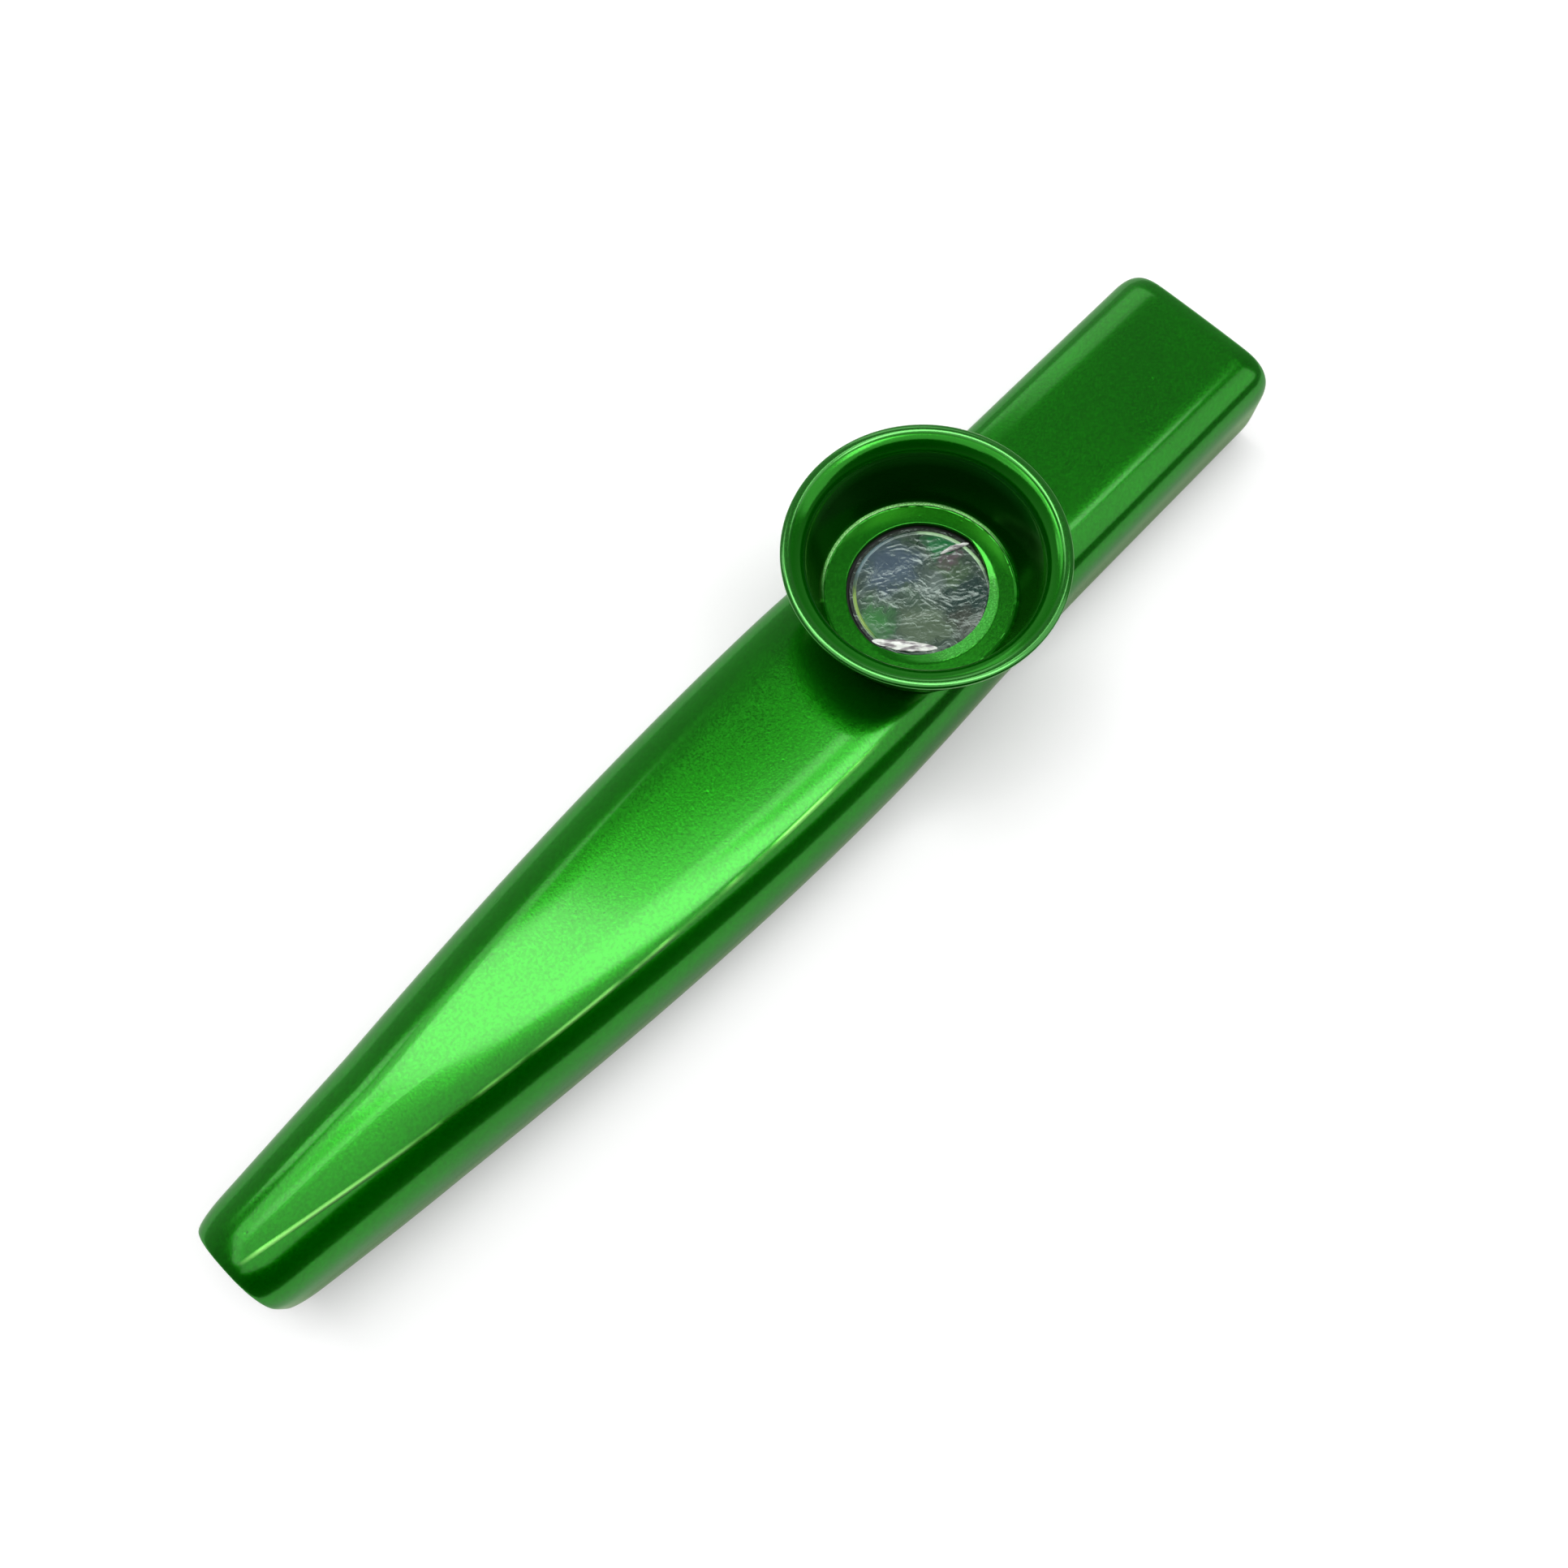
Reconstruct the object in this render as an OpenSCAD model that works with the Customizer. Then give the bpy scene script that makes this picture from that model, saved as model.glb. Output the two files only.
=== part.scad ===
// Metal kazoo: a swaged tube with a threaded collar, a screw-on horn and a
// membrane trapped under it. Millimetres, X towards the mouthpiece, Z up,
// origin under the middle of the tube on the surface that it rests on.

/* [Body tube] */
// Length of the tube from tail to mouthpiece
body_len = 120; // [100:1:150]
// Wall thickness of the tube
tube_wall = 1; // [0.7:0.05:1.3]
// Width across the mouthpiece
mouth_w = 18.1; // [17:0.1:24]
// Height of the mouthpiece
mouth_h = 11.3; // [10:0.1:16]
// Corner radius of the mouthpiece's section
mouth_r = 3.5; // [2:0.1:5]
// Greatest width of the tube, behind the turret
belly_w = 20; // [19:0.1:28]
// Height of the tube where it is widest
belly_h = 11.5; // [11:0.1:16]
// Corner radius of the section where it is widest
belly_r = 5.6; // [3:0.1:6]
// Width at the tail
tail_w = 9.7; // [8:0.1:16]
// Height at the tail
tail_h = 13.9; // [10:0.1:16]
// Corner radius of the tail's section, as far as its half width allows
tail_r = 7.2; // [2:0.1:8]
// Distance from the tail to the widest place
belly_at = 66; // [45:1:70]
// Length over which the widest place narrows to the mouthpiece
shoulder_len = 29; // [20:1:45]

/* [Rolled ends] */
// Depth by which the tail's edge is rolled inwards
tail_roll = 0.5; // [0.2:0.05:1]
// Length of the tail's roll
tail_roll_len = 2.8; // [2:0.1:8]
// Rise of the underside at the very tail
tail_lift = 3; // [0:0.1:4]
// Length over which the underside rises
tail_lift_len = 20; // [6:0.5:25]
// Depth by which the mouthpiece's edge is rolled inwards
mouth_roll = 0.65; // [0.2:0.05:1]
// Length of the mouthpiece's roll
mouth_roll_len = 2; // [1:0.1:5]

/* [Membrane] */
// Radius of the film that is free to buzz, inside the hoop
film_r = 6.25; // [5.5:0.05:6.5]
// Thickness given to the film
film_t = 0.12; // [0.1:0.01:0.2]
// Wall of the hoop that the film is glued to
hoop_wall = 1; // [0.8:0.05:1.2]
// Height of the hoop
hoop_h = 2.8; // [2.4:0.1:3.2]

/* [Turret] */
// Distance from the mouthpiece's end to the turret's axis
turret_from_mouth = 40.7; // [30:0.1:50]
// Height of the collar above the highest place of the tube under the horn
collar_proud = 0.1; // [0.05:0.05:1]
// Wall of the collar outside its thread
collar_wall = 0.55; // [0.4:0.05:0.6]
// Thickness of the collar's ledge under the hoop
ledge_t = 0.7; // [0.5:0.05:1]

/* [Horn] */
// Outer radius of the horn's rim
rim_r = 12.4; // [11.8:0.1:16]
// Depth of the cup from rim to floor
cup_depth = 7.5; // [5:0.1:12]
// Radius of the cup at its floor
cup_floor_r = 8.7; // [8.5:0.05:9.2]
// Radius of the cup where the flare starts
cup_mouth_r = 10.2; // [9.4:0.05:10.6]
// Height of the flare
flare_h = 1.7; // [1:0.1:3]
// Wall of the cup
horn_wall = 0.8; // [0.5:0.05:1]
// Thickness of the cup's floor
floor_t = 0.5; // [0.4:0.05:1]
// Width by which the cup's floor reaches over the hoop's edge
hoop_catch = 0.6; // [0.15:0.05:0.8]
// Wall of the threaded neck under the floor, inside its thread
neck_wall = 0.45; // [0.35:0.05:0.5]

/* [Thread] */
// Pitch of the thread
pitch = 1; // [0.8:0.05:1.2]
// Height of a thread ridge
ridge_h = 0.26; // [0.15:0.01:0.28]
// Width of a thread ridge at its root
ridge_w = 0.46; // [0.3:0.01:0.5]
// Width of a thread ridge at its crest
crest_w = 0.18; // [0.1:0.01:0.25]

/* [Clearances] */
// Radial clearance of the hoop in the horn's neck
hoop_gap = 0.08; // [0.05:0.01:0.1]
// Radial clearance between a ridge's crest and the facing wall
thread_gap = 0.08; // [0.05:0.01:0.1]
// Height between the neck's end and the collar's ledge
neck_gap = 0.2; // [0.1:0.05:0.4]
// Radial gap that the solder fills round the collar
solder_gap = 0.02; // [0.01:0.01:0.05]

/* [Hidden] */
$fn = 96;

// How far a cut runs past the surface that it opens
overrun = 0.5;
// Bend of the taper between tail and widest place: 1 is a plain sine
taper_power = 1.05;
// Largest and least share of a section's half size that a corner radius takes
corner_share = 0.98;
least_corner_share = 0.1;
// Arc steps in each corner of the tube's section
corner_steps = 9;
// Places of the rings in a rolled end, as shares of the roll's length
roll_shares = [0, 0.02, 0.08, 0.18, 0.33, 0.55, 0.8];
// Rings between the two rolled ends
long_rings = 22;
// Arc steps in the horn's flare and in its lip
flare_steps = 8;
lip_steps = 6;
// Angle that the flare turns through
flare_turn = 72;
// Segments of a thread ridge in one turn, and in its run-out at each end
turn_steps = 32;
fade_steps = 6;
// Share of a ridge's height by which its root is sunk into the wall
sunk_share = 0.5;

green = [0.05, 0.49, 0.04];
hoop_black = [0.1, 0.11, 0.1];
film_grey = [0.35, 0.42, 0.38, 0.7];

function mix(a, b, t) = a + (b - a) * t;
function share_of(x, a, b) = min(1, max(0, (x - a) / (b - a)));
function ease(t) = t * t * (3 - 2 * t);

// A size along the tube, from its values at the tail, the widest place and the mouthpiece
function along(x, tail, belly, mouth) = x < belly_at
    ? mix(tail, belly, ease(share_of(x, 0, belly_at)))
    : mix(belly, mouth, ease(share_of(x, belly_at, belly_at + shoulder_len)));

function tube_width(x) = x < belly_at
    ? mix(tail_w, belly_w, pow(sin(90 * share_of(x, 0, belly_at)), taper_power))
    : along(x, tail_w, belly_w, mouth_w);
function tube_top(x) = along(x, tail_h, belly_h, mouth_h);
function tube_corner(x) = along(x, tail_r, belly_r, mouth_r);
function tube_bottom(x) = tail_lift * pow(1 - share_of(x, 0, tail_lift_len), 2);

// Quarter of an ellipse: how far a rolled end has turned in at a place near it
function roll(x, depth, len) = depth * (1 - sqrt(1 - pow(1 - share_of(x, 0, len), 2)));
function roll_in(x) = roll(x, tail_roll, tail_roll_len)
    + roll(body_len - x, mouth_roll, mouth_roll_len);

// Section of the tube at x from the tail, set in by a wall, as points in (y, z)
function section(x, inset) =
    let (in = roll_in(x) + inset,
         half = tube_width(x) / 2 - in,
         low = tube_bottom(x) + in,
         high = tube_top(x) - in,
         least = min(half, (high - low) / 2),
         r = min(corner_share * least, max(tube_corner(x) - in, least_corner_share * least)),
         ys = [half - r, r - half, r - half, half - r],
         zs = [high - r, high - r, low + r, low + r])
    [for (corner = [0:3], step = [0:corner_steps])
        let (a = 90 * (corner + step / corner_steps))
        [ys[corner] + r * cos(a), zs[corner] + r * sin(a)]];

// A closed skin over rings of points, each ring with the same count
module skin(rings) {
    count = len(rings);
    size = len(rings[0]);
    points = [for (ring = rings, p = ring) p];
    sides = [for (k = [0:count - 2], i = [0:size - 1])
        let (j = (i + 1) % size, a = k * size, b = a + size)
        each [[a + i, a + j, b + j], [a + i, b + j, b + i]]];
    first = [for (i = [size - 1:-1:0]) i];
    last = [for (i = [0:size - 1]) (count - 1) * size + i];
    polyhedron(points = points, faces = concat(sides, [first, last]));
}

// Where the rings stand, measured from the tail
stations = concat(
    tail_roll_len * roll_shares,
    [for (k = [0:long_rings])
        mix(tail_roll_len, body_len - mouth_roll_len, k / long_rings)],
    [for (k = [len(roll_shares) - 1:-1:0]) body_len - mouth_roll_len * roll_shares[k]]);

function ring_at(place, x, inset) =
    [for (p = section(x, inset)) [place - body_len / 2, -p[0], p[1]]];

module tube_outside() {
    skin([for (x = stations) ring_at(x, x, 0)]);
}

module tube_inside() {
    skin(concat(
        [ring_at(-overrun, 0, tube_wall)],
        [for (x = stations) if (x > 0 && x < body_len) ring_at(x, x, tube_wall)],
        [ring_at(body_len + overrun, body_len, tube_wall)]));
}

// Levels of the turret, from the tube's top up and down
turret_at = body_len - turret_from_mouth;
turret_x = turret_at - body_len / 2;
foot_r = cup_floor_r + horn_wall;
seat_z = max(tube_top(turret_at - foot_r), tube_top(turret_at + foot_r)) + collar_proud;
floor_z = seat_z + floor_t;
rim_z = floor_z + cup_depth;
hoop_top_z = seat_z - film_t;
ledge_z = hoop_top_z - hoop_h;
collar_z = ledge_z - ledge_t;
neck_z = ledge_z + neck_gap;
flare_z = rim_z - flare_h;

// Radii of the turret, from the film outwards
hoop_r = film_r + hoop_wall;
floor_hole_r = hoop_r - hoop_catch;
neck_bore_r = hoop_r + hoop_gap;
neck_root_r = neck_bore_r + neck_wall;
neck_crest_r = neck_root_r + ridge_h;
collar_root_r = neck_crest_r + thread_gap;
collar_crest_r = collar_root_r - ridge_h;
collar_r = collar_root_r + collar_wall;

// A helical ridge on a wall of radius root, up or down to crest
module thread_ridge(root, crest, z, rise, start) {
    steps = round(turn_steps * rise / pitch);
    sunk = root - sunk_share * (crest - root);
    rings = [for (k = [0:steps])
        let (fade = min(1, k / fade_steps, (steps - k) / fade_steps),
             a = start + 360 * k / turn_steps,
             lift = z + pitch * k / turn_steps,
             tip = mix(root, crest, fade),
             outline = [[sunk, -ridge_w / 2], [tip, -crest_w / 2],
                        [tip, crest_w / 2], [sunk, ridge_w / 2]])
        [for (p = outline) [p[0] * cos(a), p[0] * sin(a), lift + p[1]]]];
    skin(crest > root ? rings : [for (ring = rings) [for (i = [3:-1:0]) ring[i]]]);
}

module at_turret() {
    translate([turret_x, 0, 0]) children();
}

// A washer from z0 to z1
module ring(outer, inner, z0, z1) {
    translate([0, 0, z0]) difference() {
        cylinder(r = outer, h = z1 - z0);
        translate([0, 0, -overrun]) cylinder(r = inner, h = z1 - z0 + 2 * overrun);
    }
}

module body_tube() {
    color(green) difference() {
        tube_outside();
        tube_inside();
        at_turret() translate([0, 0, collar_z])
            cylinder(r = collar_r + solder_gap, h = rim_z - collar_z);
    }
}

// The ridges of the neck and the collar keep half a pitch apart on one helix
neck_ridge_z = neck_z + ridge_w / 2;
neck_rise = seat_z - neck_z - 3 / 2 * ridge_w;
collar_ridge_z = ledge_z + ridge_w;
collar_rise = seat_z - ledge_z - 2 * ridge_w;
collar_start = 360 * (collar_ridge_z - neck_ridge_z) / pitch - 180;

module threaded_collar() {
    color(green) at_turret() {
        ring(collar_r, collar_root_r, ledge_z, seat_z);
        ring(collar_r, film_r, collar_z, ledge_z);
        thread_ridge(collar_root_r, collar_crest_r, collar_ridge_z, collar_rise, collar_start);
    }
}

module membrane_hoop() {
    color(hoop_black) at_turret() ring(hoop_r, film_r, ledge_z, hoop_top_z);
}

module membrane_film() {
    color(film_grey) at_turret() translate([0, 0, hoop_top_z])
        cylinder(r = hoop_r, h = film_t);
}

// The flare is a stretch of an ellipse that starts upright
lip_r = horn_wall / 2;
flare_w = (rim_r - lip_r * (1 + cos(flare_turn)) - cup_mouth_r) / (1 - cos(flare_turn));
flare_rise = (flare_h - lip_r * (1 - sin(flare_turn))) / sin(flare_turn);
function flare_in(a) = [cup_mouth_r + flare_w * (1 - cos(a)), flare_z + flare_rise * sin(a)];
function flare_out(a) = flare_in(a) + horn_wall * [cos(a), -sin(a)];
lip_centre = (flare_in(flare_turn) + flare_out(flare_turn)) / 2;

// Half section of the cup in (radius, z), from the floor's hole round the lip to the foot
cup_outline = concat(
    [[floor_hole_r, seat_z], [floor_hole_r, floor_z], [cup_floor_r, floor_z]],
    [for (k = [0:flare_steps]) flare_in(flare_turn * k / flare_steps)],
    [for (k = [1:lip_steps - 1])
        let (a = 180 * (1 - k / lip_steps) - flare_turn)
        lip_centre + lip_r * [cos(a), sin(a)]],
    [for (k = [flare_steps:-1:0]) flare_out(flare_turn * k / flare_steps)],
    [[foot_r, seat_z]]);

module horn() {
    color(green) at_turret() {
        rotate_extrude() polygon(cup_outline);
        ring(neck_root_r, neck_bore_r, neck_z, seat_z + floor_t / 2);
        thread_ridge(neck_root_r, neck_crest_r, neck_ridge_z, neck_rise, 0);
    }
}

body_tube();
threaded_collar();
membrane_hoop();
membrane_film();
horn();
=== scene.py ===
"""Looks of a green anodised metal kazoo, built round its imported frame.

Everything is in metres and in the frame's own axes: +X to the mouthpiece, +Z up, and the
origin under the middle of the tube on the surface that it rests on.
"""

import math

import bpy
from mathutils import Matrix, Vector, noise


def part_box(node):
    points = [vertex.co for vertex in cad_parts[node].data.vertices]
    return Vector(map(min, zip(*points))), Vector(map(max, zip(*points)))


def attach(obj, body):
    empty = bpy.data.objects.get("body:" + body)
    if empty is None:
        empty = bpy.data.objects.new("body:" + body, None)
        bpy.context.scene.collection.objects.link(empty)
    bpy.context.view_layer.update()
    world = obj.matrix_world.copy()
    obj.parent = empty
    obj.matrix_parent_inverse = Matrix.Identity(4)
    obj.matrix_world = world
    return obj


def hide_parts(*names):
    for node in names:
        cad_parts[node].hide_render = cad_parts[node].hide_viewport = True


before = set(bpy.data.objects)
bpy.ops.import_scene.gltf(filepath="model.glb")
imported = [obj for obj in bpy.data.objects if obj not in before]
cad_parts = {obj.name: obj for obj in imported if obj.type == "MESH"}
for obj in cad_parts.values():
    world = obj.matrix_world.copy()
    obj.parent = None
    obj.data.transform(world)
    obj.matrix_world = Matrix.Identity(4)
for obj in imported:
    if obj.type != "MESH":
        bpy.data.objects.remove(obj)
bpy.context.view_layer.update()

MM = 0.001

# Body tube, the same driving sizes as the CAD part
MOUTH_W = 18.1 * MM
MOUTH_H = 11.3 * MM
MOUTH_R = 3.5 * MM
BELLY_W = 20 * MM
BELLY_H = 11.5 * MM
BELLY_R = 5.6 * MM
TAIL_W = 9.7 * MM
TAIL_H = 13.9 * MM
TAIL_R = 7.2 * MM
BELLY_AT = 66 * MM
SHOULDER_LEN = 29 * MM
TAPER_POWER = 1.05
TUBE_WALL = 1 * MM
TAIL_ROLL = 0.5 * MM
TAIL_ROLL_LEN = 2.8 * MM
TAIL_LIFT = 3 * MM
TAIL_LIFT_LEN = 20 * MM
MOUTH_ROLL = 0.65 * MM
MOUTH_ROLL_LEN = 2 * MM
CORNER_SHARE = 0.98

# Turret and horn
FILM_R = 6.25 * MM
HOOP_WALL = 1 * MM
HOOP_CATCH = 0.6 * MM
HOOP_GAP = 0.08 * MM
COLLAR_WALL = 0.55 * MM
NECK_WALL = 0.45 * MM
RIDGE_H = 0.26 * MM
RIDGE_W = 0.46 * MM
CREST_W = 0.18 * MM
PITCH = 1 * MM
THREAD_GAP = 0.08 * MM
SOLDER_GAP = 0.02 * MM
HORN_WALL = 0.8 * MM
FLOOR_T = 0.5 * MM
CUP_FLOOR_R = 8.7 * MM
CUP_MOUTH_R = 10.2 * MM
FLARE_H = 1.7 * MM

# Places read from the frame
TUBE_LOW, TUBE_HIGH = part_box("body_tube")
HORN_LOW, HORN_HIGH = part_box("horn")
FILM_LOW, FILM_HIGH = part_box("membrane_film")
HOOP_LOW, HOOP_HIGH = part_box("membrane_hoop")
BODY_LEN = TUBE_HIGH.x - TUBE_LOW.x
TURRET_X = (FILM_LOW.x + FILM_HIGH.x) / 2
SEAT_Z = FILM_HIGH.z
HOOP_TOP_Z = HOOP_HIGH.z
LEDGE_Z = HOOP_LOW.z
COLLAR_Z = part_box("threaded_collar")[0].z
NECK_Z = HORN_LOW.z
RIM_Z = HORN_HIGH.z
RIM_R = (HORN_HIGH.y - HORN_LOW.y) / 2
FLOOR_Z = SEAT_Z + FLOOR_T
FLARE_Z = RIM_Z - FLARE_H
FOOT_R = CUP_FLOOR_R + HORN_WALL
HOOP_R = FILM_R + HOOP_WALL
FLOOR_HOLE_R = HOOP_R - HOOP_CATCH
NECK_BORE_R = HOOP_R + HOOP_GAP
NECK_ROOT_R = NECK_BORE_R + NECK_WALL
COLLAR_ROOT_R = NECK_ROOT_R + RIDGE_H + THREAD_GAP
COLLAR_R = COLLAR_ROOT_R + COLLAR_WALL


def mix(a, b, t):
    return a + (b - a) * t


def share_of(x, a, b):
    return min(1.0, max(0.0, (x - a) / (b - a)))


def ease(t):
    return t * t * (3 - 2 * t)


# Meshes

def mesh_object(name, points, faces, sharp_angle=35):
    """A smooth-shaded object whose edges stay sharp past an angle in degrees."""
    mesh = bpy.data.meshes.new(name)
    mesh.from_pydata([tuple(p) for p in points], [], faces)
    mesh.validate()
    mesh.shade_smooth()
    mesh.set_sharp_from_angle(angle=math.radians(sharp_angle))
    made = bpy.data.objects.new(name, mesh)
    bpy.context.scene.collection.objects.link(made)
    return made


def closed_grid(rings):
    """Points and faces of rings joined in a loop, each ring closed and of the same count."""
    size = len(rings[0])
    points = [p for ring in rings for p in ring]
    faces = []
    for k in range(len(rings)):
        here, there = k * size, (k + 1) % len(rings) * size
        for i in range(size):
            j = (i + 1) % size
            faces.append((here + i, here + j, there + j, there + i))
    return points, faces


def revolved(name, outline, steps, shift=None, sharp_angle=35):
    """A closed outline of (radius, height) turned round the turret's axis.
    shift(index, angle, radius, height) may move a point, and gives its radius and height."""
    rings = []
    for k in range(steps):
        a = 2 * math.pi * k / steps
        ring = []
        for i, (r, z) in enumerate(outline):
            if shift:
                r, z = shift(i, a, r, z)
            ring.append((TURRET_X + r * math.cos(a), r * math.sin(a), z))
        rings.append(ring)
    points, faces = closed_grid(rings)
    return mesh_object(name, points, faces, sharp_angle)


def arc(centre, radius, start, end, steps):
    """Points of an arc in (radius, height), between two angles in degrees."""
    return [(centre[0] + radius * math.cos(math.radians(mix(start, end, k / steps))),
             centre[1] + radius * math.sin(math.radians(mix(start, end, k / steps))))
            for k in range(steps + 1)]


def line(start, end, steps):
    """Points between two points in (radius, height), without the first one."""
    return [(mix(start[0], end[0], k / steps), mix(start[1], end[1], k / steps))
            for k in range(1, steps + 1)]


# Body tube: corners of even curvature, a slightly crowned top and a rounded edge at each end
CORNER_POWER = 2.5
CORNER_GROWTH = 1.22
CORNER_STEPS = 18
CROWN = 0.16 * MM
FLAT_STEPS = 14
SIDE_STEPS = 8
END_EDGE = 0.22 * MM
ROLL_STEPS = 16
LONG_STEPS = 190


def along(x, tail, belly, mouth):
    if x < BELLY_AT:
        return mix(tail, belly, ease(share_of(x, 0, BELLY_AT)))
    return mix(belly, mouth, ease(share_of(x, BELLY_AT, BELLY_AT + SHOULDER_LEN)))


def tube_width(x):
    if x < BELLY_AT:
        rise = math.sin(math.pi / 2 * share_of(x, 0, BELLY_AT))
        return mix(TAIL_W, BELLY_W, rise ** TAPER_POWER)
    return along(x, TAIL_W, BELLY_W, MOUTH_W)


def roll(x, depth, length):
    return depth * (1 - math.sqrt(1 - (1 - share_of(x, 0, length)) ** 2))


def roll_in(x):
    return roll(x, TAIL_ROLL, TAIL_ROLL_LEN) + roll(BODY_LEN - x, MOUTH_ROLL, MOUTH_ROLL_LEN)


def corner_point(share):
    """A corner of unit size that bends gently at both ends, by the share of its quarter turn."""
    turn = math.pi / 2 * share
    if share <= 0.5:
        k = math.tan(turn) ** (1 / (CORNER_POWER - 1))
        x = (1 + k ** CORNER_POWER) ** (-1 / CORNER_POWER)
        return x, k * x
    y, x = corner_point(1 - share)
    return x, y


def section(x, inset):
    """Section of the tube at x from the tail, set in by a wall, as points in (y, z)."""
    inward = roll_in(x) + inset
    half = tube_width(x) / 2 - inward
    low = TAIL_LIFT * (1 - share_of(x, 0, TAIL_LIFT_LEN)) ** 2 + inward
    high = along(x, TAIL_H, BELLY_H, MOUTH_H) - inward
    least = min(half, (high - low) / 2)
    r = min(CORNER_SHARE * least, CORNER_GROWTH * (along(x, TAIL_R, BELLY_R, MOUTH_R) - inward))
    corners = [(half - r, high - r, 0), (r - half, high - r, 90),
               (r - half, low + r, 180), (half - r, low + r, 270)]
    points = []
    for number, (cy, cz, turned) in enumerate(corners):
        quarter = []
        for step in range(CORNER_STEPS + 1):
            a, b = corner_point(step / CORNER_STEPS)
            cos, sin = round(math.cos(math.radians(turned))), round(math.sin(math.radians(turned)))
            quarter.append((cy + r * (a * cos - b * sin), cz + r * (a * sin + b * cos)))
        ny, nz, _ = corners[(number + 1) % 4]
        first = {0: (ny, high), 1: (-half, nz), 2: (ny, low), 3: (half, nz)}[number]
        steps = FLAT_STEPS if number % 2 == 0 else SIDE_STEPS
        points += quarter
        points += [(mix(quarter[-1][0], first[0], k / steps), mix(quarter[-1][1], first[1], k / steps))
                   for k in range(1, steps)]
    middle = (high + low) / 2
    return [(y, z - CROWN * (y / half) ** 2 * share_of(z, middle, high)) for y, z in points]


def tube_ring(place, x, inset):
    return [(TUBE_LOW.x + place, y, z) for y, z in section(x, inset)]


def tube_stations():
    """Places of the rings from tail to mouthpiece, close together in the rolled ends."""
    turned = [1 - math.cos(math.pi / 2 * k / ROLL_STEPS) for k in range(ROLL_STEPS)]
    tail = [TAIL_ROLL_LEN * t for t in turned]
    mouth = [BODY_LEN - MOUTH_ROLL_LEN * t for t in reversed(turned)]
    middle = [mix(TAIL_ROLL_LEN, BODY_LEN - MOUTH_ROLL_LEN, k / LONG_STEPS)
              for k in range(LONG_STEPS + 1)]
    return tail + middle + mouth


def end_edge(at_tail):
    """Rings that round the inner edge of an open end, from the outside in."""
    rings = []
    for k in range(5):
        a = math.pi / 2 * k / 4
        inset = TUBE_WALL - END_EDGE * (1 - math.sin(a))
        x = END_EDGE * (1 - math.cos(a))
        x = x if at_tail else BODY_LEN - x
        rings.append(tube_ring(x, 0 if at_tail else BODY_LEN, inset))
    return rings


def make_tube():
    stations = tube_stations()
    outside = [tube_ring(x, x, 0) for x in stations]
    inside = [tube_ring(x, x, TUBE_WALL) for x in stations
              if 2 * END_EDGE < x < BODY_LEN - 2 * END_EDGE]
    rings = outside + end_edge(False) + inside[::-1] + end_edge(True)[::-1]
    points, faces = closed_grid(rings)
    tube = mesh_object("tube_shell", points, [f[::-1] for f in faces])
    hole = hole_cutter()
    cut = tube.modifiers.new("turret hole", "BOOLEAN")
    cut.operation = "DIFFERENCE"
    cut.solver = "EXACT"
    cut.object = hole
    graph = bpy.context.evaluated_depsgraph_get()
    mesh = bpy.data.meshes.new_from_object(tube.evaluated_get(graph))
    tube.modifiers.clear()
    tube.data = mesh
    mesh.shade_smooth()
    mesh.set_sharp_from_angle(angle=math.radians(40))
    bpy.data.objects.remove(hole)
    return tube


def hole_cutter():
    """A round plug that opens the tube's top under the horn."""
    r = COLLAR_R + SOLDER_GAP
    steps = 128
    circle = [(TURRET_X + r * math.cos(2 * math.pi * k / steps),
               r * math.sin(2 * math.pi * k / steps)) for k in range(steps)]
    points = [(x, y, z) for z in (COLLAR_Z, RIM_Z) for x, y in circle]
    faces = [(k, (k + 1) % steps, (k + 1) % steps + steps, k + steps) for k in range(steps)]
    faces += [tuple(range(steps))[::-1], tuple(range(steps, 2 * steps))]
    return mesh_object("hole_cutter", points, faces)


# Horn: floor with an unevenly deburred hole, a burr round the floor, flare, rolled rim and thread
HORN_STEPS = 288
RIM_ROUND = 0.5 * MM
RIM_CROWN = 0.24 * MM
RIM_SWEEP = (-70, 150)
FLARE_TURN = 77
HOLE_ROUND = 0.1 * MM
# How far the hole's edge moves out on one side and in on the other, in mm, and where
HOLE_SHIFT = (0.12, 0.26)
HOLE_SHIFT_AT = -60
BEVEL_START = 0.36 * MM
BEVEL_REACH = 1.05 * MM
BEVEL_DROP = 0.2 * MM
BEVEL_AT = -88
BEVEL_SPREAD = 88
# How far the floor's underside is cut away below the bevel
BEVEL_LIFT = 0.27 * MM
BEAD_W = 0.26 * MM
BEAD_H = 0.07 * MM
# Roughness of the burr round the floor, and of the hole's edge
BURR = 0.07 * MM
HOLE_BURR = 0.03 * MM
HAIR = 0.01 * MM
THREAD_ROWS = 64
THREAD_FADE = 0.1 * MM


def ridge(angle, z, start):
    """How far a thread ridge stands out at a place, as a share of its height."""
    turn = (z - start) / PITCH - angle / (2 * math.pi)
    away = abs((turn + 0.5) % 1 - 0.5) * PITCH
    return 1 - share_of(away, CREST_W / 2, RIDGE_W / 2)


def flare(start, end, steps):
    """Points of a quarter ellipse that starts upright, each with its turn from upright."""
    whole = math.radians(FLARE_TURN)
    wide = (end[0] - start[0]) / (1 - math.cos(whole))
    high = (end[1] - start[1]) / math.sin(whole)
    return [(start[0] + wide * (1 - math.cos(whole * k / steps)),
             start[1] + high * math.sin(whole * k / steps), whole * k / steps)
            for k in range(steps + 1)]


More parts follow.
